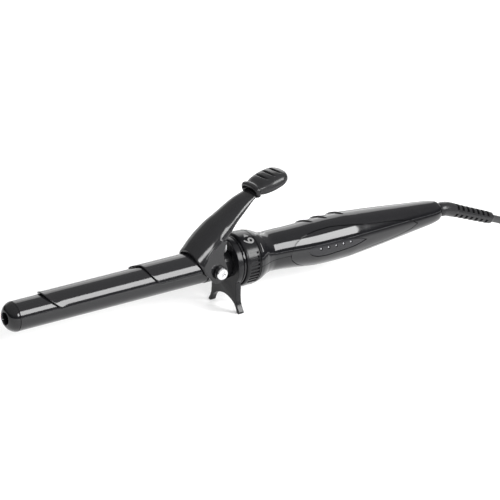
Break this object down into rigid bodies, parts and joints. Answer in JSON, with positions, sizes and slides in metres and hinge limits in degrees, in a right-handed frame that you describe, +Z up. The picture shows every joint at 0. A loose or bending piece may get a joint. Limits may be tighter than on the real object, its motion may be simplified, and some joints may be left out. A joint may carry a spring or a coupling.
{
  "type": "curling iron",
  "caption": "Clamp curling iron with a round barrel, hinged clamp with thumb lever, turning dial ring, push keys, two stand legs, swivel cord exit and a two-pin plug",
  "frame": {"origin": "on the resting surface, under the middle of the object's length and width, cord left out", "axes": "+X from the barrel tip towards the cord exit, +Z up from the stand feet, +Y away from the side with the lens"},
  "size_m": [0.5778, 0.05, 0.0855],
  "materials": {
    "barrel_coat": "satin ceramic coat on metal",
    "clamp_coat": "satin ceramic coat on metal",
    "gloss_black": "glossy black",
    "satin_black": "satin black",
    "rubber_black": "soft matt black",
    "steel": "bright plated steel",
    "aluminium": "extruded",
    "ceramic": "unglazed",
    "brass": "plated contact metal",
    "board": "circuit board",
    "lens": "dark tinted, polished",
    "led": "clear moulded light",
    "wire": "insulated wire"
  },
  "bodies": {
    "frame_body": {"barrel_tube": "barrel_coat", "tip_cap": "gloss_black", "tip_screw": "steel", "heat_spreader_upper": "aluminium", "heat_spreader_lower": "aluminium", "ptc_heater": "ceramic", "temperature_sensor": "ceramic", "thermal_fuse": "aluminium", "barrel_insulator": "ceramic", "heater_lead_live": "wire", "heater_lead_neutral": "wire", "clamp_spring": "steel", "front_hub": "satin_black", "stand_flange": "satin_black", "front_lip_ring": "gloss_black", "pivot_washer_near": "gloss_black", "pivot_screw_near": "steel", "pivot_washer_far": "gloss_black", "pivot_screw_far": "steel", "dial_contact_ring": "board", "dial_detent_spring": "steel", "leaf_panel": "gloss_black", "led_1": "led", "led_2": "led", "led_3": "led", "led_4": "led", "led_5": "led", "led_lens": "lens", "key_switch_1": "satin_black", "key_switch_2": "satin_black", "key_switch_3": "satin_black", "handle_shell_upper": "satin_black", "handle_shell_lower": "satin_black", "case_screw_front": "steel", "case_screw_rear": "steel", "control_board": "board", "led_board": "board", "swivel_bushing": "brass", "brush_live": "brass", "brush_neutral": "brass", "cord": "rubber_black", "cord_hank": "rubber_black", "cord_tie": "satin_black", "plug_body": "rubber_black", "plug_pin_1": "brass", "plug_pin_2": "brass", "cord_tail": "rubber_black"},
    "clamp": {"clamp_spoon": "clamp_coat", "clamp_sleeve": "clamp_coat", "clamp_lever": "satin_black", "thumb_cap": "rubber_black"},
    "dial": {"dial_ring": "satin_black", "dial_wiper": "brass"},
    "swivel": {"strain_relief": "rubber_black", "swivel_spool": "satin_black", "slip_ring_live": "brass", "slip_ring_neutral": "brass"},
    "key_1_body": {"key_1": "gloss_black"},
    "key_2_body": {"key_2": "gloss_black"},
    "key_3_body": {"key_3": "gloss_black"}
  },
  "joints": [
    {"name": "clamp_hinge", "type": "hinge", "parent": "frame_body", "child": "clamp", "pos_m": [-0.0474, 0, 0.0307], "axis": [0, 1, 0], "range_deg": [0, 22], "stiffness_Nm_per_rad": 0.35, "springref_deg": -31.51, "deforming": ["clamp_spring"]},
    {"name": "dial_turn", "type": "hinge", "parent": "frame_body", "child": "dial", "pos_m": [-0.0224, 0, 0.0307], "axis": [1, 0, 0], "range_deg": [-180, 60]},
    {"name": "cord_swivel", "type": "hinge", "parent": "frame_body", "child": "swivel", "pos_m": [0.1456, 0, 0.0282], "axis": [1, 0, 0], "continuous": true},
    {"name": "key_1_press", "type": "slide", "parent": "frame_body", "child": "key_1_body", "axis": [0, -0.225, -0.9744], "range_m": [0, 0.0006], "stiffness_N_per_m": 900, "springref_m": -0.0006},
    {"name": "key_2_press", "type": "slide", "parent": "frame_body", "child": "key_2_body", "axis": [0, -0.225, -0.9744], "range_m": [0, 0.0006], "stiffness_N_per_m": 900, "springref_m": -0.0006},
    {"name": "key_3_press", "type": "slide", "parent": "frame_body", "child": "key_3_body", "axis": [0, -0.225, -0.9744], "range_m": [0, 0.0006], "stiffness_N_per_m": 900, "springref_m": -0.0006}
  ]
}
